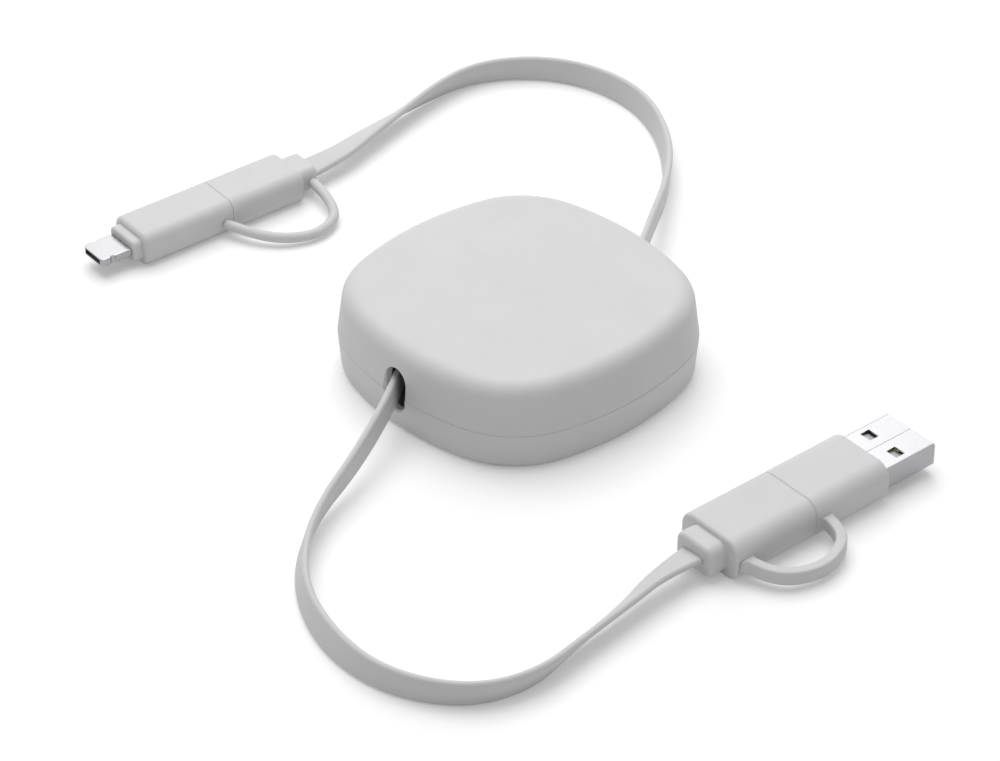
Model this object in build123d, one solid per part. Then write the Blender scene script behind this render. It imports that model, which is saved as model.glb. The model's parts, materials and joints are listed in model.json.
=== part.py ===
from build123d import *
import math
import os

# Retractable charging cable, in millimetres. The origin is the middle of the housing's underside, +Z is up,
# and the two cables are pulled out along -X (charger end) and +X (phone end).

# Housing: a rounded square of side arcs and corner arcs, split at the seam
half_width = 30.0
side_radius = 56.0
corner_radius = 18.5
housing_height = 17.0
seam_height = 7.5
wall = 1.6
top_draw_in = 1.25
top_edge_radius = 3.2
base_draw_in = 0.65
base_edge_radius = 1.5
seam_chamfer = 0.12
tongue_thickness = 0.7
tongue_height = 1.0
tongue_clearance = 0.1

# Cable slots in the two faces across X
slot_width = 5.2
slot_height = 8.8
slot_center_height = 8.5
slot_step = 0.2
slot_rim_depth = 0.7
slot_rim_angle = 38.0

# Reel
seat_height = 0.4
spool_floor_height = 2.4
flange_thickness = 1.2
flange_radius = 22.5
winding_play = 0.4
drum_radius = 9.0
drum_wall = 1.2
hub_wall = 1.4
lock_ring_radius = 12.0
lock_ring_wall = 2.4
lock_notch_radius = 1.5
lock_notch_set_out = 0.5
lock_notch_count = 8
cap_thickness = 0.8
cap_overlap = 1.0
cap_spigot_depth = 0.6
cap_spigot_wall = 0.8
arbor_radius = 3.0
arbor_top_radius = 2.5
arbor_tip_radius = 1.8
arbor_slit = 0.6
running_clearance = 0.05
boss_gap = 0.2
boss_wall = 1.6

# Power spring
strip_thickness = 0.25
strip_margin = 0.4
spring_half_turns = 9
spring_wall_gap = 0.2

# Flat cable
cable_width = 5.2
cable_thickness = 1.3
turns_on_drum = 2.5
cord_tube_diameter = 1.8
cord_lead = 7.5
soft_clearance = 0.3
run_share = 0.45

# Pawl and its wire spring
pawl_pivot_radius = 17.0
pawl_pivot_angle = 270.0
pawl_tip_angle = 245.0
pawl_hub_radius = 2.0
pawl_tip_radius = 0.6
pawl_thickness = 1.4
pawl_post_radius = 1.0
pawl_peg_radius = 0.4
pawl_peg_share = 0.55
pawl_ring_gap = 0.3
wire_diameter = 0.5
wire_gap = 0.1
wire_leg = 5.0
wire_foot_angle = 0.0
stop_peg_radius = 0.5

# Type-C plug and socket, the same at both ends
c_plug_width = 8.25
c_plug_height = 2.4
c_plug_wall = 0.3
c_plug_reach = 6.65
c_plug_root = 3.0
c_slot_width = 6.9
c_slot_height = 0.9
c_slot_depth = 5.3
c_lip = 0.2
c_contact_count = 12
c_contact_pitch = 0.5
c_contact_width = 0.26
c_contact_length = 3.6
c_contact_thickness = 0.04
socket_width = 8.34
socket_height = 2.56
socket_wall = 0.3
socket_depth = 6.9
socket_tongue_width = 6.69
socket_tongue_height = 0.66
socket_tongue_length = 4.4
fit_gap = 0.03
board_thickness = 1.0
board_margin = 2.6
socket_setback = 0.2
grip_joint_chamfer = 0.12

# Charger end: place of the joint between grip and adapter, and sizes of its blocks
charger_x = 2.1
charger_y = -66.05
charger_yaw = -2.6
charger_width = 14.4
charger_height = 8.0
charger_corner = 3.0
charger_grip_length = 18.2
charger_adapter_length = 17.5
charger_end_fillet = 0.6
charger_joint_fillet = 0.5
charger_collar_width = 8.8
charger_collar_height = 6.0
charger_collar_corner = 1.9
charger_collar_length = 3.7
charger_collar_fillet = 0.8

# Type-A plug
type_a_width = 12.0
type_a_height = 4.5
type_a_corner = 0.5
type_a_wall = 0.3
type_a_reach = 12.0
type_a_root = 3.0
window_length = 2.1
window_width = 2.5
window_spacing = 6.5
window_from_tip = 6.95
flap_thickness = 0.25
flap_gap = 0.15
flap_drop = 0.38
flap_tip_drop = 0.58
flap_bend = 0.35
shell_seam_width = 0.1
shell_seam_depth = 0.06
type_a_insert_height = 1.9
type_a_insert_setback = 0.6
contact_spacing_outer = 7.0
contact_spacing_inner = 2.0
contact_width = 1.1
contact_thickness = 0.15
contact_length_outer = 8.8
contact_length_inner = 7.8
contact_setback = 0.9

# Phone end
phone_x = -10.86
phone_y = 73.36
phone_yaw = 175.5
phone_width = 11.0
phone_height = 6.8
phone_corner = 2.2
phone_grip_length = 16.8
phone_adapter_length = 19.9
phone_end_fillet = 0.9
phone_joint_fillet = 0.25
phone_collar_width = 7.6
phone_collar_height = 4.8
phone_collar_corner = 1.4
phone_collar_length = 4.2
phone_collar_fillet = 0.7
nose_width = 8.4
nose_height = 4.4
nose_corner = 1.2
nose_length = 1.9
nose_fillet = 0.6

# Slim metal phone plug
blade_width = 6.7
blade_thickness = 1.6
blade_edge = 0.3
blade_tip_corner = 0.9
blade_reach = 6.6
blade_root = 3.0
blade_slot_width = 4.9
blade_slot_height = 1.05
blade_slot_depth = 5.0
blade_insert_setback = 0.5
detent_radius = 0.65
detent_depth = 0.45
detent_from_tip = 2.4

# Tethers: sections, slopes down to the table, and the loops as seen along each slope, in the plug's own axes
strap_thickness = 2.0
strap_height = 2.8
strap_rise = 0.4
strap_slope = 8.0
strap_root_depth = 0.3
strap_root_fillet = 1.2
strap_gap = 0.05
round_tether_diameter = 2.0
round_tether_slope = 6.6
charger_tether_loop = [
    (-15.9, -5.0),
    (-14.7, -12.2),
    (-6.8, -15.6),
    (-0.3, -13.8),
    (2.5, -10.7),
    (2.6, -5.0),
]
phone_tether_loop = [
    (2.4, 4.0),
    (-0.5, 10.4),
    (-5.2, 15.4),
    (-12.4, 17.6),
    (-19.4, 13.2),
    (-19.6, 2.6),
]

# Routes of the two cords from the reel to the plugs: chosen points, ends worked out below
charger_route_middle = [
    (-20.5, 6.2, 8.05),
    (-32.2, -2.1, 7.8),
    (-45.0, -8.4, 5.2),
    (-57.9, -12.6, 3.2),
    (-68.0, -19.5, 2.8),
    (-74.9, -29.0, 2.75),
    (-78.7, -40.0, 2.75),
    (-79.3, -50.8, 2.75),
    (-75.3, -59.7, 2.75),
    (-68.8, -66.2, 2.75),
    (-59.4, -68.5, 2.75),
    (-48.3, -67.8, 2.75),
    (-36.9, -66.6, 3.2),
]
phone_route_middle = [
    (20.5, -6.2, 8.05),
    (32.2, 1.8, 7.8),
    (44.1, 10.1, 5.9),
    (55.4, 18.7, 3.8),
    (65.4, 27.6, 2.8),
    (72.7, 37.4, 2.75),
    (76.3, 47.9, 2.75),
    (75.7, 58.4, 2.75),
    (72.0, 67.6, 2.75),
    (65.3, 74.4, 2.75),
    (57.1, 77.9, 2.75),
    (47.3, 77.2, 2.75),
    (36.7, 75.6, 2.75),
    (26.5, 73.1, 2.95),
]
reel_side_angle = 56.4

# Levels and radii that follow from the sizes above
seat_level = wall + seat_height
lower_flange_level = seat_level + spool_floor_height
winding_level = lower_flange_level + flange_thickness
winding_gap = cable_width + winding_play
upper_flange_level = winding_level + winding_gap
cap_level = upper_flange_level + flange_thickness
boss_level = cap_level + cap_thickness + boss_gap
ceiling_level = housing_height - wall
drum_bore = drum_radius - drum_wall
coil_radius = drum_radius + soft_clearance + 2 * cable_thickness * turns_on_drum
cord_level = winding_level + cable_width / 2
cord_reel_radius = coil_radius + soft_clearance + cord_tube_diameter / 2
top_taper = math.degrees(math.atan2(top_draw_in, housing_height - seam_height))
base_taper = math.degrees(math.atan2(base_draw_in, seam_height))

# Corner arcs touch the side arcs, which sets the corner centres and the angle where they meet
side_center = half_width - side_radius
arc_gap = side_radius - corner_radius
corner_center = (side_center + math.sqrt(2 * arc_gap**2 - side_center**2)) / 2
meeting_angle = math.degrees(math.atan2(corner_center, corner_center - side_center))


def housing_outline(draw_in, level):
    """Flat face with the housing's rounded-square outline, drawn in all round."""
    arcs = []
    corner_sweep = 90 - 2 * meeting_angle
    for quarter in range(4):
        turn = 90 * quarter
        side_middle = Vector(side_center, 0, 0).rotate(Axis.Z, turn)
        corner_middle = Vector(corner_center, corner_center, 0).rotate(Axis.Z, turn)
        arcs.append(CenterArc(side_middle, side_radius - draw_in, turn - meeting_angle, 2 * meeting_angle))
        arcs.append(CenterArc(corner_middle, corner_radius - draw_in, turn + meeting_angle, corner_sweep))
    return Pos(0, 0, level) * make_face(arcs)


def disc(radius, level, height):
    """Round plate or post on the reel's axis."""
    return Pos(0, 0, level) * Cylinder(radius, height, align=(Align.CENTER, Align.CENTER, Align.MIN))


def ring(outer, inner, level, height):
    """Round plate with a round hole, on the reel's axis."""
    return disc(outer, level, height) - disc(inner, level, height)


def edges_at(solid, level):
    """Edges that lie at one level."""
    flat = [edge for edge in solid.edges() if abs(edge.bounding_box().max.Z - level) < 1e-4]
    return [edge for edge in flat if abs(edge.bounding_box().min.Z - level) < 1e-4]


def slot_cutter(width):
    """Upright slot through both faces across X, opening out towards its rims."""
    face = Plane.YZ * Pos(0, slot_center_height) * SlotOverall(slot_height, width, rotation=90)
    cutter = extrude(face, half_width, both=True)
    for side in (Plane.YZ, Plane.ZY):
        across = Pos(0, slot_center_height) if side is Plane.YZ else Pos(slot_center_height, 0)
        turn = 90 if side is Plane.YZ else 0
        rim = across * SlotOverall(slot_height, width, rotation=turn)
        rim = side.offset(half_width - slot_rim_depth) * rim
        cutter += extrude(rim, 2 * slot_rim_depth, taper=-slot_rim_angle)
    return cutter


def make_top_cover():
    """Upper shell: drafted side, rounded top edge, rebate for the seam tongue and a boss for the arbor."""
    outer = extrude(housing_outline(0, seam_height), housing_height - seam_height, taper=top_taper)
    outer = fillet(outer.faces().sort_by(Axis.Z)[-1].edges(), top_edge_radius)
    outer = chamfer(edges_at(outer, seam_height), seam_chamfer)
    cavity = extrude(housing_outline(wall, seam_height), ceiling_level - seam_height, taper=top_taper)
    cavity = fillet(cavity.faces().sort_by(Axis.Z)[-1].edges(), top_edge_radius - wall)
    rebate_in = wall - tongue_thickness - tongue_clearance
    rebate = extrude(housing_outline(rebate_in, seam_height), tongue_height + tongue_clearance)
    cover = outer - cavity - rebate - slot_cutter(slot_width)
    boss_bore = arbor_tip_radius + running_clearance
    return cover + ring(boss_bore + boss_wall, boss_bore, boss_level, ceiling_level - boss_level)


def pawl_pivot():
    """Place of the pawl's pivot in plan."""
    return Vector(pawl_pivot_radius, 0, 0).rotate(Axis.Z, pawl_pivot_angle)


def pawl_tip():
    """Middle of the pawl's rounded tip in plan, just clear of the lock ring."""
    return Vector(lock_ring_radius + pawl_ring_gap + pawl_tip_radius, 0, 0).rotate(Axis.Z, pawl_tip_angle)


def pawl_heading():
    """Direction from the pawl's pivot to its tip, in degrees from +X."""
    arm = pawl_tip() - pawl_pivot()
    return math.degrees(math.atan2(arm.Y, arm.X))


pawl_level = seat_level
wire_level = pawl_level + pawl_thickness + wire_gap + wire_diameter / 2
coil_turn_radius = pawl_post_radius + wire_gap + wire_diameter / 2


def spring_foot_start():
    """Where the pawl spring's fixed leg leaves the post."""
    return pawl_pivot() + Vector(coil_turn_radius, 0, 0).rotate(Axis.Z, wire_foot_angle - 90)


def make_bottom_cover():
    """Lower shell with the seam tongue, arbor post, spool seat, pawl post and spring peg."""
    outer = extrude(housing_outline(base_draw_in, 0), seam_height, taper=-base_taper)
    outer = fillet(outer.faces().sort_by(Axis.Z)[0].edges(), base_edge_radius)
    outer = chamfer(edges_at(outer, seam_height), seam_chamfer)
    floor_draw_in = wall + base_draw_in * (1 - wall / seam_height)
    tongue = extrude(housing_outline(wall - tongue_thickness, seam_height), tongue_height)
    tongue -= extrude(housing_outline(wall, seam_height), tongue_height)
    cavity = extrude(housing_outline(floor_draw_in, wall), seam_height - wall, taper=-base_taper)
    cover = outer + tongue - cavity - slot_cutter(slot_width - 2 * slot_step)
    seat_radius = arbor_radius + running_clearance + hub_wall
    cover += disc(seat_radius, wall, seat_height)
    cover += disc(arbor_radius, wall, winding_level - wall)
    arbor_top = disc(arbor_top_radius, winding_level, boss_level - boss_gap / 2 - winding_level)
    slit_height = cap_level - winding_level - strip_margin
    arbor_top -= Pos(0, 0, winding_level + strip_margin + slit_height / 2) * Box(
        2 * arbor_top_radius, arbor_slit, slit_height
    )
    cover += arbor_top
    cover += disc(arbor_tip_radius, cap_level, ceiling_level - running_clearance - cap_level)
    pivot = pawl_pivot()
    cover += Pos(pivot.X, pivot.Y, 0) * disc(pawl_hub_radius, wall, pawl_level - wall)
    post_height = wire_level + wire_diameter / 2 - wall
    cover += Pos(pivot.X, pivot.Y, 0) * disc(pawl_post_radius, wall, post_height)
    along = Vector(1, 0, 0).rotate(Axis.Z, wire_foot_angle)
    across = Vector(0, 1, 0).rotate(Axis.Z, wire_foot_angle)
    peg = spring_foot_start() + along * (wire_leg - 2 * stop_peg_radius)
    peg = peg + across * (wire_diameter / 2 + stop_peg_radius + wire_gap)
    cover += Pos(peg.X, peg.Y, 0) * disc(stop_peg_radius, wall, post_height)
    return cover


def make_spool():
    """Reel: notched lock ring and hub below, two flanges, and the drum that holds the power spring."""
    bore = arbor_radius + running_clearance
    spool = ring(flange_radius, bore, lower_flange_level, flange_thickness)
    lock_ring = ring(lock_ring_radius, lock_ring_radius - lock_ring_wall, seat_level, spool_floor_height)
    notch = Cylinder(lock_notch_radius, spool_floor_height, align=(Align.CENTER, Align.CENTER, Align.MIN))
    for place in PolarLocations(lock_ring_radius + lock_notch_set_out, lock_notch_count):
        lock_ring -= place * Pos(0, 0, seat_level) * notch
    spool += lock_ring
    spool += ring(bore + hub_wall, bore, seat_level, spool_floor_height)
    spool += ring(drum_radius, drum_bore, winding_level, winding_gap)
    spool += ring(flange_radius, drum_bore, upper_flange_level, flange_thickness)
    return spool


def make_spring_cap():
    """Lid of the spring drum, with a spigot that centres it in the drum's bore."""
    bore = arbor_top_radius + running_clearance
    cap = ring(drum_radius + cap_overlap, bore, cap_level, cap_thickness)
    spigot = drum_bore - running_clearance
    return cap + ring(spigot, spigot - cap_spigot_wall, cap_level - cap_spigot_depth, cap_spigot_depth)


def make_power_spring():
    """Spiral strip of half-turn arcs about two centres, with its inner tail in the arbor's slit."""
    first_radius = arbor_top_radius + spring_wall_gap + strip_thickness
    last_radius = drum_bore - spring_wall_gap - strip_thickness
    growth = (last_radius - first_radius) / (spring_half_turns - 1)
    outer = []
    inner = []
    radius = first_radius
    middle = 0.0
    for half_turn in range(spring_half_turns):
        start = 180 * half_turn
        outer.append(CenterArc((middle, 0, 0), radius + strip_thickness / 2, start, 180))
        inner.append(CenterArc((middle, 0, 0), radius - strip_thickness / 2, start, 180))
        middle += -growth if half_turn % 2 else growth
        radius += growth
    ends = [Line(outer[0] @ 0, inner[0] @ 0), Line(outer[-1] @ 1, inner[-1] @ 1)]
    strip = make_face(outer + inner + ends)
    tail = Pos((first_radius + strip_thickness / 2) / 2, 0) * Rectangle(
        first_radius + strip_thickness / 2, strip_thickness
    )
    height = upper_flange_level - cap_spigot_depth - winding_level
    return Pos(0, 0, winding_level + strip_margin) * extrude(strip + tail, height - 2 * strip_margin)


def make_wound_cable():
    """The turns of flat cable that stay on the drum, as one ring on the lower flange."""
    return ring(coil_radius, drum_radius + soft_clearance, winding_level, cable_width)


def make_pawl():
    """Lock lever: round hub, tapering arm with a rounded tip, and a peg for its spring."""
    pivot = pawl_pivot()
    tip = pawl_tip()
    hub_circle = Pos(pivot.X, pivot.Y) * Circle(pawl_hub_radius)
    tip_circle = Pos(tip.X, tip.Y) * Circle(pawl_tip_radius)
    arm = make_hull(hub_circle.edges() + tip_circle.edges())
    arm -= Pos(pivot.X, pivot.Y) * Circle(pawl_post_radius + running_clearance)
    heading = pawl_heading()
    along = Vector(1, 0, 0).rotate(Axis.Z, heading)
    outward = Vector(0, 1, 0).rotate(Axis.Z, heading)
    peg_offset = coil_turn_radius - wire_diameter / 2 - wire_gap - pawl_peg_radius
    peg = pivot + along * (pawl_peg_share * (tip - pivot).length) + outward * peg_offset
    lever = Pos(0, 0, pawl_level) * extrude(arm, pawl_thickness)
    peg_height = pawl_thickness + wire_gap + wire_diameter
    return lever + Pos(peg.X, peg.Y, 0) * disc(pawl_peg_radius, pawl_level, peg_height)


def make_pawl_spring():
    """Bent wire round the pawl's post, one leg on the pawl's peg and one on the cover's peg."""
    pivot = pawl_pivot()
    heading = pawl_heading()
    along = Vector(1, 0, 0).rotate(Axis.Z, heading)
    lift = Vector(0, 0, wire_level)
    turn_start = pivot + Vector(coil_turn_radius, 0, 0).rotate(Axis.Z, heading + 90) + lift
    sweep_angle = (wire_foot_angle - 90 - heading - 90) % 360
    middle_angle = heading + 90 + sweep_angle / 2
    turn_middle = pivot + Vector(coil_turn_radius, 0, 0).rotate(Axis.Z, middle_angle) + lift
    turn_end = spring_foot_start() + lift
    foot = Vector(1, 0, 0).rotate(Axis.Z, wire_foot_angle)
    leg = Line(turn_start + along * wire_leg, turn_start)
    bend = ThreePointArc(turn_start, turn_middle, turn_end)
    rest = Line(turn_end, turn_end + foot * wire_leg)
    path = Wire([leg, bend, rest])
    section = Plane(origin=path @ 0, z_dir=path % 0) * Circle(wire_diameter / 2)
    return sweep(section, path=path)


def bar(section_width, section_height, corner, start, length):
    """Bar along +X with rounded long edges, centred on the plug's axis."""
    face = Plane.YZ * RectangleRounded(section_width, section_height, corner)
    return Pos(start, 0, 0) * extrude(face, length)


def flat_round_bar(section_width, section_height, start, length):
    """Bar along +X with full-round sides, centred on the plug's axis."""
    face = Plane.YZ * SlotOverall(section_width, section_height)
    return Pos(start, 0, 0) * extrude(face, length)


def plate(start, length, width, low, high):
    """Flat plate along +X, from low to high about the plug's axis."""
    return Pos(start + length / 2, 0, (low + high) / 2) * Box(length, width, high - low)


def face_across(solid, which):
    """Edges of the solid's last (-1) or first (0) flat face across X."""
    return solid.faces().filter_by(Axis.X).sort_by(Axis.X)[which].edges()


def make_grip(width, height, corner, length, end_fillet, collar):
    """Moulded grip with a stepped collar for the cable and a pocket for the type-C plug."""
    collar_width, collar_height, collar_corner, collar_length, collar_fillet = collar
    block = bar(width, height, corner, -length, length)
    block = fillet(face_across(block, 0), end_fillet)
    block = chamfer(face_across(block, -1), grip_joint_chamfer)
    neck = bar(collar_width, collar_height, collar_corner, -length - collar_length, collar_length)
    neck = fillet(face_across(neck, 0), collar_fillet)
    pocket = flat_round_bar(c_plug_width, c_plug_height, -c_plug_root, c_plug_root)
    return block + neck - pocket


def make_c_shell():
    """Drawn metal shell of the type-C plug, rooted in the grip."""
    whole = c_plug_root + c_plug_reach
    shell = flat_round_bar(c_plug_width, c_plug_height, -c_plug_root, whole)
    inner_width = c_plug_width - 2 * c_plug_wall
    inner_height = c_plug_height - 2 * c_plug_wall
    return shell - flat_round_bar(inner_width, inner_height, -c_plug_root, whole)


def make_c_insert():
    """Plastic core of the type-C plug, with the slot that takes the socket's tongue."""
    inner_width = c_plug_width - 2 * c_plug_wall - 2 * fit_gap
    inner_height = c_plug_height - 2 * c_plug_wall - 2 * fit_gap
    core = flat_round_bar(inner_width, inner_height, -c_plug_root, c_plug_root + c_plug_reach - c_lip)
    slot_start = c_plug_reach - c_lip - c_slot_depth
    slot = plate(slot_start, c_slot_depth, c_slot_width, -c_slot_height / 2, c_slot_height / 2)
    return core - slot


def make_c_contacts():
    """Two rows of contact springs on the walls of the type-C plug's slot."""
    rows = []
    middle = c_plug_reach - c_lip - c_slot_depth / 2
    first = -(c_contact_count - 1) * c_contact_pitch / 2
    for side in (-1, 1):
        level = side * (c_slot_height - c_contact_thickness) / 2
        for place in range(c_contact_count):
            pad = Box(c_contact_length, c_contact_width, c_contact_thickness)
            rows.append(Pos(middle, first + place * c_contact_pitch, level) * pad)
    return Compound(children=rows)


def make_adapter(width, height, corner, length, end_fillet, joint_fillet, front_pocket):
    """Moulded adapter block with its socket pocket, board pocket and the pocket of its front plug."""
    block = bar(width, height, corner, 0, length)
    block = fillet(face_across(block, -1), end_fillet)
    block = fillet(face_across(block, 0), joint_fillet)
    outer_width = socket_width + 2 * socket_wall
    outer_height = socket_height + 2 * socket_wall
    return block - flat_round_bar(outer_width, outer_height, 0, socket_depth + socket_wall) - front_pocket


def make_socket_shell():
    """Metal shell of the type-C socket, closed at its back."""
    outer_width = socket_width + 2 * socket_wall - 2 * fit_gap
    outer_height = socket_height + 2 * socket_wall - 2 * fit_gap
    length = socket_depth + socket_wall - socket_setback
    shell = flat_round_bar(outer_width, outer_height, socket_setback, length)
    return shell - flat_round_bar(socket_width, socket_height, 0, socket_depth)


def make_socket_tongue():
    """Contact tongue that stands on the back of the type-C socket."""
    start = socket_depth - socket_tongue_length
    half = socket_tongue_height / 2
    return plate(start, socket_tongue_length, socket_tongue_width, -half, half)


def make_board(width, front_start):
    """Small circuit board between the socket's back and the front plug."""
    start = socket_depth + socket_wall
    board_width = width - 2 * board_margin
    return plate(start, front_start - start, board_width, -board_thickness / 2, board_thickness / 2)


type_a_start = charger_adapter_length - type_a_root
type_a_tip = charger_adapter_length + type_a_reach


def make_type_a_shell():
    """Folded type-A shell with its seam, four windows and the flaps bent in below the upper two."""
    whole = type_a_root + type_a_reach
    shell = bar(type_a_width, type_a_height, type_a_corner, type_a_start, whole)
    inner_width = type_a_width - 2 * type_a_wall
    inner_height = type_a_height - 2 * type_a_wall
    shell -= bar(inner_width, inner_height, type_a_corner - type_a_wall / 2, type_a_start, whole)
    window_middle = type_a_tip - window_from_tip
    for side in (-1, 1):
        for row in (-1, 1):
            place = Pos(window_middle, row * window_spacing / 2, side * (type_a_height - type_a_wall) / 2)
            shell -= place * Box(window_length, window_width, 2 * type_a_wall)
    seam_groove = Box(2 * type_a_reach, shell_seam_width, 2 * shell_seam_depth)
    shell -= Pos(type_a_tip, 0, type_a_height / 2) * seam_groove
    root = window_middle - window_length / 2
    top = type_a_height / 2
    level = top - flap_drop
    tip_level = top - flap_tip_drop
    free = window_middle + window_length / 2 - flap_gap
    profile = Polyline(
        (root, top),
        (root + flap_bend, level),
        (free, tip_level),
        (free, tip_level - flap_thickness),
        (root + flap_bend, level - flap_thickness),
        (root, top - flap_thickness),
        close=True,
    )
    flap = extrude(Plane.XZ * make_face(profile), (window_width - 2 * flap_gap) / 2, both=True)
    for row in (-1, 1):
        shell += Pos(0, row * window_spacing / 2, 0) * flap
    return shell


def insert_levels():
    """Lower and upper face of the type-A plug's plastic tongue."""
    low = -type_a_height / 2 + type_a_wall
    return low, low + type_a_insert_height


def make_type_a_insert():
    """Plastic tongue on the lower wall of the type-A shell, with its root block."""
    low, high = insert_levels()
    width = type_a_width - 2 * type_a_wall - 2 * fit_gap
    length = type_a_root + type_a_reach - type_a_insert_setback
    tongue = plate(type_a_start, length, width, low, high)
    tongue += plate(type_a_start, type_a_root, width, low, type_a_height / 2 - type_a_wall)
    inner_height = type_a_height - 2 * type_a_wall - 2 * fit_gap
    return tongue & bar(width, inner_height, type_a_corner - type_a_wall / 2, type_a_start, length)


def make_type_a_contacts():
    """Four flat contacts on the type-A tongue, the outer two longer."""
    high = insert_levels()[1]
    front = type_a_tip - type_a_insert_setback - contact_setback
    rows = []
    pairs = [(contact_spacing_outer, contact_length_outer), (contact_spacing_inner, contact_length_inner)]
    for spacing, length in pairs:
        for side in (-1, 1):
            strip = plate(front - length, length, contact_width, high, high + contact_thickness)
            rows.append(Pos(0, side * spacing / 2, 0) * strip)
    return Compound(children=rows)


nose_tip = phone_adapter_length + nose_length
blade_start = nose_tip - blade_root
blade_tip = nose_tip + blade_reach


def make_nose():
    """Stepped nose of the phone adapter, round the slim plug."""
    nose = bar(nose_width, nose_height, nose_corner, phone_adapter_length, nose_length)
    return fillet(face_across(nose, -1), nose_fillet)


def make_blade():
    """Slim metal plug: rounded tip corners, detents in both edges and the slot in its tip."""
    whole = blade_root + blade_reach
    blade = bar(blade_width, blade_thickness, blade_edge, blade_start, whole)
    tip_plan = Pos(blade_tip - whole / 2, 0) * RectangleRounded(whole, blade_width, blade_tip_corner)
    root_plan = Pos(blade_start + whole / 4, 0) * Rectangle(whole / 2, blade_width)
    blade &= extrude(tip_plan + root_plan, blade_thickness, both=True)
    for side in (-1, 1):
        middle = side * (blade_width / 2 + detent_radius - detent_depth)
        blade -= Pos(blade_tip - detent_from_tip, middle, 0) * Cylinder(detent_radius, blade_thickness)
    half = blade_slot_height / 2
    return blade - plate(blade_tip - blade_slot_depth, blade_slot_depth, blade_slot_width, -half, half)


def make_blade_insert():
    """Dark contact insert in the slim plug's slot, set a little back from the tip."""
    half = blade_slot_height / 2
    length = blade_slot_depth - blade_insert_setback
    return plate(blade_tip - blade_slot_depth, length, blade_slot_width, -half, half)


def arc_radii(points):
    """Radius of the arc at each inner point, as large as its two runs allow."""
    radii = []
    for before, here, after in zip(points, points[1:], points[2:]):
        run_in = here - before
        run_out = after - here
        half_turn = math.radians(run_in.get_angle(run_out)) / 2
        radii.append(run_share * min(run_in.length, run_out.length) / math.tan(half_turn))
    return radii


def smooth_path(points):
    """Straight runs through the points, joined by tangent arcs."""
    points = [Vector(*point) for point in points]
    return FilletPolyline(*points, radius=arc_radii(points))


def make_strap(loop):
    """Flat strap along a loop, sloping down from the plug's side, with filleted roots."""
    path = smooth_path([(x, y, 0) for x, y in loop])
    first, last = loop[0], loop[-1]
    root_level = strap_root_depth - charger_width / 2
    root_wall = Pos((first[0] + last[0]) / 2, (first[1] + root_level) / 2) * Rectangle(
        last[0] - first[0] + strap_thickness + 2 * strap_root_fillet, first[1] - root_level
    )
    plan = trace(path, strap_thickness) + root_wall
    at_wall = [corner for corner in plan.vertices() if abs(corner.Y - root_level) < 1e-4]
    inner_corners = sorted(at_wall, key=lambda corner: corner.X)[1:-1]
    strap = extrude(fillet(inner_corners, strap_root_fillet), strap_height / 2, both=True)
    return Pos(0, 0, strap_rise) * Rot(strap_slope, 0, 0) * strap


def make_round_tether(loop):
    """Round strap along a loop, sloping down from the plug's side."""
    path = smooth_path([(x, y, 0) for x, y in loop])
    section = Plane(origin=path @ 0, z_dir=path % 0) * Circle(round_tether_diameter / 2)
    return Rot(-round_tether_slope, 0, 0) * sweep(section, path=path)


def cord_route(middle, turn, place, collar_end):
    """Whole route of a cord: off the reel on a tangent, through the chosen points, straight into a collar."""
    start = Vector(cord_reel_radius, 0, cord_level).rotate(Axis.Z, turn)
    lead = (place * Pos(-collar_end - cord_lead, 0, 0)).position
    end = (place * Pos(-collar_end, 0, 0)).position
    return [tuple(start), *middle, tuple(lead), tuple(end)]


def make_cord(name, route):
    """Plain tube along a cord's route; prints its radii, length and volume."""
    points = [Vector(*point) for point in route]
    path = FilletPolyline(*points, radius=arc_radii(points))
    section = Plane(origin=path @ 0, z_dir=path % 0) * Circle(cord_tube_diameter / 2)
    tube = sweep(section, path=path)
    plain = math.pi * (cord_tube_diameter / 2) ** 2 * path.length
    print(name, "route", [tuple(round(value, 2) for value in point) for point in route])
    print(name, "radii", [round(radius, 1) for radius in arc_radii(points)])
    print(name, "length", round(path.length, 1))
    print(name, "volume", round(tube.volume, 1), "section x length", round(plain, 1))
    return tube


charger_place = Location((charger_x, charger_y, charger_height / 2), (0, 0, charger_yaw))
phone_place = Location((phone_x, phone_y, phone_height / 2), (0, 0, phone_yaw))


def charger_end():
    """Nodes of the charger end, in the plug's own axes."""
    collar = (
        charger_collar_width,
        charger_collar_height,
        charger_collar_corner,
        charger_collar_length,
        charger_collar_fillet,
    )
    sizes = (charger_width, charger_height, charger_corner)
    board = make_board(charger_width, type_a_start)
    pocket = bar(type_a_width, type_a_height, type_a_corner, type_a_start, type_a_root) + board
    strap = make_strap(charger_tether_loop)
    room = (charger_width + 2 * strap_gap, charger_height + 2 * strap_gap, charger_corner + strap_gap)
    strap -= bar(*room, -charger_grip_length, charger_grip_length + charger_adapter_length)
    return {
        "charger_grip": make_grip(*sizes, charger_grip_length, charger_end_fillet, collar),
        "charger_c_shell": make_c_shell(),
        "charger_c_insert": make_c_insert(),
        "charger_c_contacts": make_c_contacts(),
        "charger_adapter_body": make_adapter(
            *sizes, charger_adapter_length, charger_end_fillet, charger_joint_fillet, pocket
        ),
        "charger_socket_shell": make_socket_shell(),
        "charger_socket_tongue": make_socket_tongue(),
        "charger_board": board,
        "type_a_shell": make_type_a_shell(),
        "type_a_insert": make_type_a_insert(),
        "type_a_contacts": make_type_a_contacts(),
        "charger_tether": strap,
    }


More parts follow.
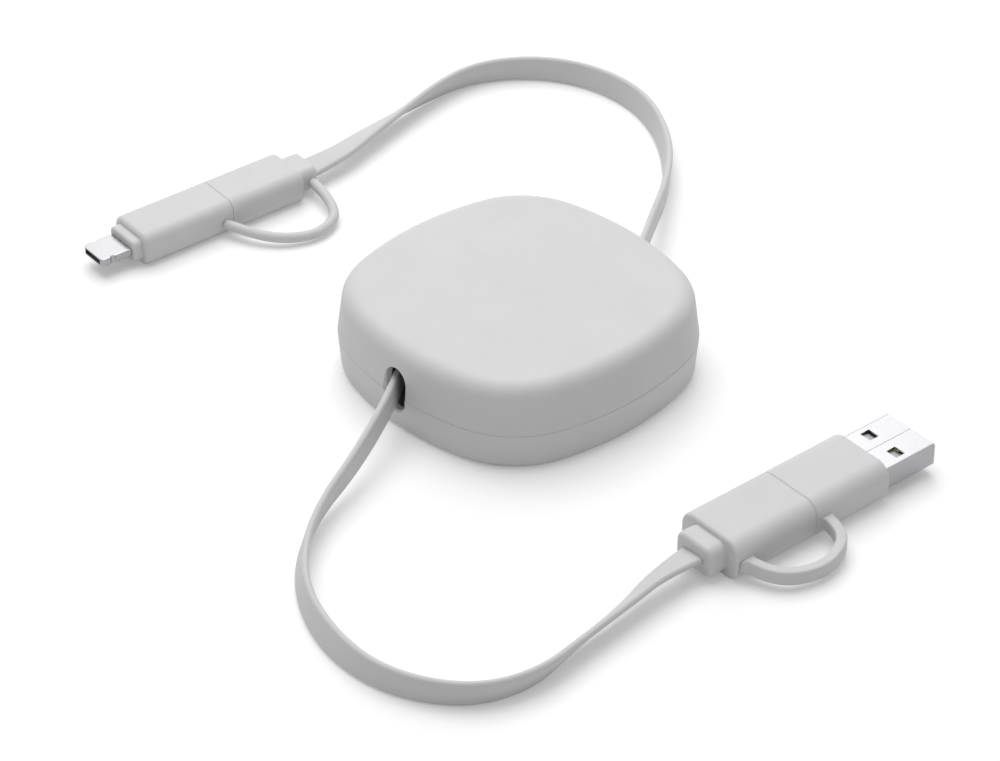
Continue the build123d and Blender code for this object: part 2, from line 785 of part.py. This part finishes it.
def phone_end():
    """Nodes of the phone end, in the plug's own axes."""
    collar = (
        phone_collar_width,
        phone_collar_height,
        phone_collar_corner,
        phone_collar_length,
        phone_collar_fillet,
    )
    sizes = (phone_width, phone_height, phone_corner)
    board = make_board(phone_width, blade_start)
    pocket = board + bar(blade_width, blade_thickness, blade_edge, blade_start, blade_root)
    body = make_adapter(*sizes, phone_adapter_length, phone_end_fillet, phone_joint_fillet, board)
    body = body + make_nose() - pocket
    tether = make_round_tether(phone_tether_loop)
    tether -= bar(phone_width + 2 * strap_gap, phone_height, phone_corner, 0, phone_adapter_length)
    neck_width = phone_collar_width + 2 * strap_gap
    neck_height = phone_collar_height + 2 * strap_gap
    neck_start = -phone_grip_length - phone_collar_length
    tether -= bar(neck_width, neck_height, phone_collar_corner, neck_start, phone_collar_length)
    return {
        "phone_grip": make_grip(*sizes, phone_grip_length, phone_end_fillet, collar),
        "phone_c_shell": make_c_shell(),
        "phone_c_insert": make_c_insert(),
        "phone_c_contacts": make_c_contacts(),
        "phone_adapter_body": body,
        "phone_socket_shell": make_socket_shell(),
        "phone_socket_tongue": make_socket_tongue(),
        "phone_board": board,
        "slim_plug_blade": make_blade(),
        "slim_plug_insert": make_blade_insert(),
        "phone_tether": tether,
    }


def cords():
    """The two free cords, from beside the wound turns to the collars of the grips."""
    charger_collar_end = charger_grip_length + charger_collar_length
    phone_collar_end = phone_grip_length + phone_collar_length
    charger_route = cord_route(charger_route_middle, 180 - reel_side_angle, charger_place, charger_collar_end)
    phone_route = cord_route(phone_route_middle, -reel_side_angle, phone_place, phone_collar_end)
    return {
        "charger_cord": make_cord("charger_cord", charger_route),
        "phone_cord": make_cord("phone_cord", phone_route),
    }


nodes = {
    "top_cover": make_top_cover(),
    "bottom_cover": make_bottom_cover(),
    "spool": make_spool(),
    "spring_cap": make_spring_cap(),
    "power_spring": make_power_spring(),
    "wound_cable": make_wound_cable(),
    "pawl": make_pawl(),
    "pawl_spring": make_pawl_spring(),
}
nodes.update({name: charger_place * solid for name, solid in charger_end().items()})
nodes.update({name: phone_place * solid for name, solid in phone_end().items()})
nodes.update(cords())

os.makedirs("parts", exist_ok=True)
for name, solid in nodes.items():
    export_step(solid, f"parts/{name}.step")
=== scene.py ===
import json
import math

import bpy
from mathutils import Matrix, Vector


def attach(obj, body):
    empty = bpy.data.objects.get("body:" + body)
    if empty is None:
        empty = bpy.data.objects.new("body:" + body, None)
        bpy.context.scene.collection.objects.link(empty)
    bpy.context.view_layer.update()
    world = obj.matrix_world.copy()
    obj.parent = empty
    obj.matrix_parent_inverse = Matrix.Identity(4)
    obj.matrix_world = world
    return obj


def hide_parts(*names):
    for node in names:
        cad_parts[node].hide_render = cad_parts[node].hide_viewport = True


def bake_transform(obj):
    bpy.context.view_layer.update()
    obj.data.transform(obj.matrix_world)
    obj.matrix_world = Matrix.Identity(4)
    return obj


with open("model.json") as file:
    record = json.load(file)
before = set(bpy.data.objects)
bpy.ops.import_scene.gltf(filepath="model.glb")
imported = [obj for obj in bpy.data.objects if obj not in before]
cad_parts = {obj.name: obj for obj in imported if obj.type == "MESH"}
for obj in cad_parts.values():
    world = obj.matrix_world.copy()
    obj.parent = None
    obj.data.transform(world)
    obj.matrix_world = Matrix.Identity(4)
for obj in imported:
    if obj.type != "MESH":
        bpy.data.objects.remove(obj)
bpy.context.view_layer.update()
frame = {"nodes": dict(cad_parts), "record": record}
nodes = frame["nodes"]
mm = 0.001

# Camera, fitted to the photo: angles in degrees, lens and sensor in millimetres
camera_place = Vector((-385.80, -418.15, 407.84)) * mm
camera_elevation = 35.903
camera_turn = -42.362
camera_lens = 138.22
sensor_width = 36.0

# Flat cables: section in millimetres, then the route points of the CAD tubes, moved by about 1 mm at most to follow
# the photo, each with the cable's roll there in degrees: 0 stands on edge, 90 either way lies flat
cable_width = 5.2
cable_thickness = 1.3
cable_edge = 0.62
charger_route = [
    (-9.41, 14.16, 8.2, 4),
    (-20.7, 6.5, 8.05, 3),
    (-32.4, -1.7, 7.8, 2),
    (-45.3, -7.85, 5.3, -2),
    (-58.1, -12.35, 3.25, -13),
    (-68.1, -19.55, 2.8, -18),
    (-75.1, -29.05, 2.75, -16),
    (-78.7, -40.15, 2.75, -20),
    (-79.0, -50.95, 2.8, -6),
    (-75.4, -59.95, 2.7, 1),
    (-69.1, -66.75, 2.7, 11),
    (-59.5, -69.55, 2.65, 21),
    (-48.3, -67.65, 2.75, 36),
    (-36.9, -66.5, 3.2, 40),
    (-27.25, -64.9, 4.0, 61),
    (-19.78, -65.06, 4.0, 86),
]
phone_route = [
    (9.41, -14.16, 8.2, 1),
    (20.5, -6.2, 8.05, 3),
    (32.1, 1.9, 7.8, 5),
    (43.9, 10.4, 5.9, 3),
    (55.5, 18.6, 3.85, 2),
    (65.4, 27.6, 2.75, 12),
    (72.5, 37.5, 2.75, 12),
    (76.4, 47.9, 2.8, 15),
    (76.0, 58.5, 2.8, 8),
    (72.1, 67.6, 2.75, 5),
    (65.2, 74.3, 2.75, -2),
    (57.1, 77.7, 2.75, -12),
    (47.3, 77.5, 2.8, -26),
    (36.7, 75.8, 2.8, -49),
    (26.35, 73.8, 3.05, -70),
    (17.5, 71.5, 3.5, -87),
    (10.08, 71.71, 3.4, -98),
]

# Tethers, in millimetres and degrees: the joint between grip and adapter, its heading, then the tether's loop in the
# plug's own axes, its level over the joint and its slope down to the table
charger_joint = (2.1, -66.05, 4.0)
charger_heading = -2.6
charger_loop = [(-15.8, -6.8), (-14.7, -12.2), (-6.8, -15.6), (-0.3, -13.8), (2.5, -10.7), (2.6, -6.8)]
charger_loop_rise = 0.4
charger_loop_slope = 0.14
strap_thickness = 2.0
strap_height = 2.8
strap_edge = 0.4
strap_root_fillet = 1.2
phone_joint = (-10.86, 73.36, 3.4)
phone_heading = 175.5
phone_loop = [(1.8, 5.3), (-0.5, 10.4), (-5.2, 15.4), (-12.4, 17.6), (-19.4, 13.2), (-19.6, 3.6)]
phone_loop_rise = 0.0
phone_loop_slope = 0.115
phone_tether_diameter = 2.0

# Steps along and across the swept pieces
route_steps = 24
corner_steps = 4
round_steps = 24

# Noise: the range of values that is used, its detail, its scales in patches per metre, and how far it varies a
# surface, as shares of the colour and as steps of roughness
noise_range = (0.3, 0.7)
rich_detail = 3
plain_detail = 2
tone_scale = 90
tone_shares = (0.985, 1.015)
gloss_scale = 400
gloss_swing = 0.04
line_scale = 900
line_shares = (0.96, 1.03)
line_swing = 0.05
line_depth = 0.000001
floor_scale = 6
floor_shares = (0.99, 1.01)

# Moulded surfaces: colour, roughness and grain, which is a scale in patches per metre and a depth in metres
plastic_specular = 0.35
plastic_grain = (6000, 0.000004)
rubber_grain = (9000, 0.000003)
board_grain = (4000, 0.000004)
moulded_surfaces = {
    "housing": ((0.64, 0.64, 0.64), 0.55, plastic_grain),
    "plug_body": ((0.635, 0.635, 0.635), 0.55, plastic_grain),
    "cable_jacket": ((0.61, 0.61, 0.61), 0.5, rubber_grain),
    "tether": ((0.62, 0.62, 0.62), 0.5, rubber_grain),
    "reel": ((0.72, 0.72, 0.7), 0.45, plastic_grain),
    "plug_insert": ((0.02, 0.02, 0.02), 0.5, plastic_grain),
    "board": ((0.02, 0.09, 0.04), 0.4, board_grain),
}

# Metal surfaces: colour, roughness and the scale of the drawn lines along each axis, small along the lines
metal_surfaces = {
    "spring_steel": ((0.45, 0.46, 0.48), 0.3, (1, 1, 0.05)),
    "plug_metal": ((0.38, 0.38, 0.39), 0.3, (0.08, 1, 1)),
    "contact": ((0.66, 0.54, 0.3), 0.25, (0.1, 1, 1)),
}

# Floor: the lift to white grows from its first value to its second over the distances of floor_fade, in metres
floor_half = 4.0
floor_colour = (0.85, 0.85, 0.85)
floor_roughness = 0.9
floor_lift = (0.2, 0.8)
floor_fade = (0.11, 0.9)

# Light: a lamp is its place in metres, its side in metres and its power in watts
white = (1.0, 1.0, 1.0, 1.0)
world_light = 0.4
world_seen = 1.0
key_lamp = ((0.14, 0.36, 1.12), 1.1, 10.5)
back_lamp = ((0.62, 0.68, 0.67), 0.5, 1.3)


def link(item):
    """Puts a new object into the scene."""
    bpy.context.scene.collection.objects.link(item)
    return item


def spline_points(points):
    """Points along a smooth spline with given control points, read from a curve without thickness."""
    data = bpy.data.curves.new("route", "CURVE")
    data.dimensions = "3D"
    data.resolution_u = route_steps
    spline = data.splines.new("NURBS")
    spline.points.add(len(points) - 1)
    for spot, point in zip(spline.points, points):
        spot.co = (*(Vector(point) * mm), 1.0)
    spline.order_u = 3
    spline.use_endpoint_u = True
    guide = link(bpy.data.objects.new("route", data))
    bpy.context.view_layer.update()
    line = bpy.data.meshes.new_from_object(guide)
    found = [vertex.co.copy() for vertex in line.vertices]
    bpy.data.objects.remove(guide)
    bpy.data.meshes.remove(line)
    return found


def rounded_outline(across, upright, corner):
    """Outline of a rounded rectangle, anticlockwise, in metres."""
    outline = []
    for quarter in range(4):
        side = 1 if quarter in (0, 3) else -1
        level = 1 if quarter in (0, 1) else -1
        middle = (side * (across / 2 - corner), level * (upright / 2 - corner))
        for step in range(corner_steps + 1):
            angle = math.radians(90 * (quarter + step / corner_steps))
            outline.append((middle[0] + corner * math.cos(angle), middle[1] + corner * math.sin(angle)))
    return [(x * mm, y * mm) for x, y in outline]


def round_outline(diameter):
    """Outline of a circle, anticlockwise, in metres."""
    radius = diameter / 2 * mm
    angles = [2 * math.pi * step / round_steps for step in range(round_steps)]
    return [(radius * math.cos(angle), radius * math.sin(angle)) for angle in angles]


def sweep(name, path, outline, rolls, flares):
    """Closed mesh of an outline carried along a path; roll 0 keeps it upright and flare 1 keeps its thickness."""
    vertices = []
    faces = []
    count = len(outline)
    for index, (point, roll, flare) in enumerate(zip(path, rolls, flares)):
        along = (path[min(index + 1, len(path) - 1)] - path[max(index - 1, 0)]).normalized()
        side = along.cross(Vector((0, 0, 1))).normalized()
        upward = side.cross(along)
        cosine, sine = math.cos(math.radians(roll)), math.sin(math.radians(roll))
        wide = upward * cosine + side * sine
        thin = side * cosine - upward * sine
        vertices.extend(point + thin * x * flare + wide * y for x, y in outline)
        if index:
            first = (index - 1) * count
            for corner in range(count):
                after = (corner + 1) % count
                faces.append((first + corner, first + count + corner, first + count + after, first + after))
    faces.append(tuple(range(count)))
    faces.append(tuple(reversed(range(len(vertices) - count, len(vertices)))))
    data = bpy.data.meshes.new(name)
    data.from_pydata(vertices, [], faces)
    data.update()
    data.polygons.foreach_set("use_smooth", [len(face) == 4 for face in faces])
    return link(bpy.data.objects.new(name, data))


def root_flares(path):
    """Share by which a strap widens towards the fillet at each of its ends, at each point of its line."""
    reached = [0.0]
    for before, after in zip(path, path[1:]):
        reached.append(reached[-1] + (after - before).length / mm)
    flares = []
    for place in reached:
        inside = max(strap_root_fillet - min(place, reached[-1] - place), 0.0)
        widening = strap_root_fillet - math.sqrt(strap_root_fillet**2 - inside**2)
        flares.append(1 + 2 * widening / strap_thickness)
    return flares


def flat_cable(name, node, route):
    """Flat cable in place of its CAD tube: on edge from the reel, turned flat before its plug."""
    path = spline_points([point[:3] for point in route])
    # The rolls follow a spline of their own, so that the cable twists as smoothly as it bends
    rolls = [spot.x / mm for spot in spline_points([(point[3], 0, 0) for point in route])]
    outline = rounded_outline(cable_thickness, cable_width, cable_edge)
    cable = sweep(name, path, outline, rolls, [1.0] * len(path))
    cable.data.materials.append(materials["cable_jacket"])
    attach(cable, "housing")
    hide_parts(node)


def plug_point(joint, heading, x, y, rise=0.0):
    """Point given in a plug's own axes, in millimetres of the part's frame."""
    angle = math.radians(heading)
    across = (x * math.cos(angle) - y * math.sin(angle), x * math.sin(angle) + y * math.cos(angle))
    return Vector((joint[0] + across[0], joint[1] + across[1], joint[2] + rise))


def tether(name, node, joint, heading, loop, rise, slope, outline, flared):
    """Strap from a grip to its adapter, swept along its loop at rest."""
    path = spline_points([plug_point(joint, heading, x, y, rise - slope * abs(y)) for x, y in loop])
    flares = root_flares(path) if flared else [1.0] * len(path)
    strap = sweep(name, path, outline, [0.0] * len(path), flares)
    strap.data.materials.append(materials["tether"])
    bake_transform(strap)
    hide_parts(node)
    return strap


def new_material(name):
    """Node material, with its node tree and its surface shader."""
    material = bpy.data.materials.new(name)
    material.use_nodes = True
    tree = material.node_tree
    shader = next(node for node in tree.nodes if node.type == "BSDF_PRINCIPLED")
    return material, tree, shader


def noise(tree, scale, detail, stretch=(1, 1, 1)):
    """Noise in the part's own axes, in patches of about 1 / scale metres."""
    place = tree.nodes.new("ShaderNodeTexCoord")
    mapping = tree.nodes.new("ShaderNodeMapping")
    mapping.inputs["Scale"].default_value = stretch
    texture = tree.nodes.new("ShaderNodeTexNoise")
    texture.inputs["Scale"].default_value = scale
    texture.inputs["Detail"].default_value = detail
    tree.links.new(place.outputs["Object"], mapping.inputs["Vector"])
    tree.links.new(mapping.outputs["Vector"], texture.inputs["Vector"])
    return texture.outputs["Fac"]


def vary_colour(tree, shader, value, colour, shares):
    """Lets a noise value make a shader's colour a little darker or lighter."""
    ramp = tree.nodes.new("ShaderNodeValToRGB")
    for element, position, share in zip(ramp.color_ramp.elements, noise_range, shares):
        element.position = position
        element.color = (*(channel * share for channel in colour), 1)
    tree.links.new(value, ramp.inputs["Fac"])
    tree.links.new(ramp.outputs["Color"], shader.inputs["Base Color"])


def map_range(tree, value, source, target):
    """Maps a value from one range onto another."""
    ramp = tree.nodes.new("ShaderNodeMapRange")
    ramp.inputs["From Min"].default_value, ramp.inputs["From Max"].default_value = source
    ramp.inputs["To Min"].default_value, ramp.inputs["To Max"].default_value = target
    tree.links.new(value, ramp.inputs["Value"])
    return ramp.outputs["Result"]


def vary_roughness(tree, shader, value, roughness, swing):
    """Lets a noise value make a shader's roughness a little lower or higher."""
    result = map_range(tree, value, noise_range, (roughness - swing, roughness + swing))
    tree.links.new(result, shader.inputs["Roughness"])


def raise_grain(tree, shader, value, depth):
    """Fine surface grain of a real depth in metres."""
    bump = tree.nodes.new("ShaderNodeBump")
    bump.inputs["Distance"].default_value = depth
    tree.links.new(value, bump.inputs["Height"])
    tree.links.new(bump.outputs["Normal"], shader.inputs["Normal"])


def moulded(name, colour, roughness, grain):
    """Satin moulded plastic or rubber with fine spark-eroded grain and a faint unevenness of tone."""
    material, tree, shader = new_material(name)
    grain_scale, grain_depth = grain
    vary_colour(tree, shader, noise(tree, tone_scale, rich_detail), colour, tone_shares)
    vary_roughness(tree, shader, noise(tree, gloss_scale, plain_detail), roughness, gloss_swing)
    shader.inputs["Specular IOR Level"].default_value = plastic_specular
    raise_grain(tree, shader, noise(tree, grain_scale, plain_detail), grain_depth)
    return material


def metal(name, colour, roughness, stretch):
    """Plated or rolled metal with fine drawn lines."""
    material, tree, shader = new_material(name)
    lines = noise(tree, line_scale, rich_detail, stretch)
    vary_colour(tree, shader, lines, colour, line_shares)
    vary_roughness(tree, shader, lines, roughness, line_swing)
    shader.inputs["Metallic"].default_value = 1.0
    raise_grain(tree, shader, lines, line_depth)
    return material


def dress_cad_nodes():
    """Gives each CAD node its material."""
    for subpart in frame["record"]["subparts"]:
        piece = nodes[subpart["node"]]
        piece.data.materials.clear()
        piece.data.materials.append(materials[subpart["material_slot"]])


def make_lamp(name, place, side, power):
    """Square soft box aimed at the part."""
    data = bpy.data.lights.new(name, "AREA")
    data.shape = "SQUARE"
    data.size = side
    data.energy = power
    lamp = link(bpy.data.objects.new(name, data))
    lamp.location = place
    lamp.rotation_euler = (-Vector(place)).to_track_quat("-Z", "Y").to_euler()


def seen_rays(tree):
    """1 where the camera looks or a shiny or clear surface mirrors, 0 where a surface is only lit."""
    rays = tree.nodes.new("ShaderNodeLightPath")
    seen = rays.outputs["Is Camera Ray"]
    for name in ("Is Glossy Ray", "Is Transmission Ray"):
        either = tree.nodes.new("ShaderNodeMath")
        either.operation = "MAXIMUM"
        tree.links.new(seen, either.inputs[0])
        tree.links.new(rays.outputs[name], either.inputs[1])
        seen = either.outputs["Value"]
    return seen


def mix_shaders(tree, share, lit, seen, output):
    """Uses one shader for light and another where it is seen."""
    mix = tree.nodes.new("ShaderNodeMixShader")
    tree.links.new(share, mix.inputs["Fac"])
    tree.links.new(lit, mix.inputs[1])
    tree.links.new(seen, mix.inputs[2])
    tree.links.new(mix.outputs["Shader"], output.inputs["Surface"])


def lift_by_distance(tree, shader):
    """Adds a lift to a shader, which grows with the distance from the middle of the part."""
    place = tree.nodes.new("ShaderNodeTexCoord")
    reach = tree.nodes.new("ShaderNodeVectorMath")
    reach.operation = "LENGTH"
    tree.links.new(place.outputs["Object"], reach.inputs[0])
    lift = tree.nodes.new("ShaderNodeEmission")
    tree.links.new(map_range(tree, reach.outputs["Value"], floor_fade, floor_lift), lift.inputs["Strength"])
    lifted = tree.nodes.new("ShaderNodeAddShader")
    tree.links.new(shader.outputs["BSDF"], lifted.inputs[0])
    tree.links.new(lift.outputs["Emission"], lifted.inputs[1])
    return lifted.outputs["Shader"]


def make_floor():
    """Plain pale table top, lifted to white where it is seen in full light."""
    corners = [(-floor_half, -floor_half, 0), (floor_half, -floor_half, 0)]
    corners += [(floor_half, floor_half, 0), (-floor_half, floor_half, 0)]
    data = bpy.data.meshes.new("floor")
    data.from_pydata(corners, [], [(0, 1, 2, 3)])
    data.update()
    floor = link(bpy.data.objects.new("floor", data))
    material, tree, shader = new_material("floor")
    vary_colour(tree, shader, noise(tree, floor_scale, plain_detail), floor_colour, floor_shares)
    shader.inputs["Roughness"].default_value = floor_roughness
    shader.inputs["Specular IOR Level"].default_value = 0.0
    lifted = lift_by_distance(tree, shader)
    mix_shaders(tree, seen_rays(tree), shader.outputs["BSDF"], lifted, tree.nodes["Material Output"])
    floor.data.materials.append(material)


def make_world():
    """Even studio surround: white where it is seen or mirrored, softer as light."""
    world = bpy.data.worlds.new("studio")
    bpy.context.scene.world = world
    world.use_nodes = True
    tree = world.node_tree
    light = tree.nodes["Background"]
    light.inputs["Color"].default_value = white
    light.inputs["Strength"].default_value = world_light
    seen = tree.nodes.new("ShaderNodeBackground")
    seen.inputs["Color"].default_value = white
    seen.inputs["Strength"].default_value = world_seen
    output = tree.nodes["World Output"]
    mix_shaders(tree, seen_rays(tree), light.outputs["Background"], seen.outputs["Background"], output)


def make_camera():
    """Camera of the photo."""
    data = bpy.data.cameras.new("camera")
    data.lens = camera_lens
    data.sensor_width = sensor_width
    camera = link(bpy.data.objects.new("camera", data))
    camera.location = camera_place
    camera.rotation_euler = (math.radians(90 - camera_elevation), 0, math.radians(camera_turn))
    bpy.context.scene.camera = camera


materials = {name: moulded(name, *surface) for name, surface in moulded_surfaces.items()}
materials.update({name: metal(name, *surface) for name, surface in metal_surfaces.items()})
dress_cad_nodes()

charger_strap = tether(
    "charger_strap",
    node="charger_tether",
    joint=charger_joint,
    heading=charger_heading,
    loop=charger_loop,
    rise=charger_loop_rise,
    slope=charger_loop_slope,
    outline=rounded_outline(strap_thickness, strap_height, strap_edge),
    flared=True,
)
phone_strap = tether(
    "phone_strap",
    node="phone_tether",
    joint=phone_joint,
    heading=phone_heading,
    loop=phone_loop,
    rise=phone_loop_rise,
    slope=phone_loop_slope,
    outline=round_outline(phone_tether_diameter),
    flared=False,
)
flat_cable("charger_cable", "charger_cord", charger_route)
flat_cable("phone_cable", "phone_cord", phone_route)

make_floor()
make_world()
make_lamp("key_lamp", *key_lamp)
make_lamp("back_lamp", *back_lamp)
make_camera()
bpy.context.scene.view_settings.view_transform = "Standard"
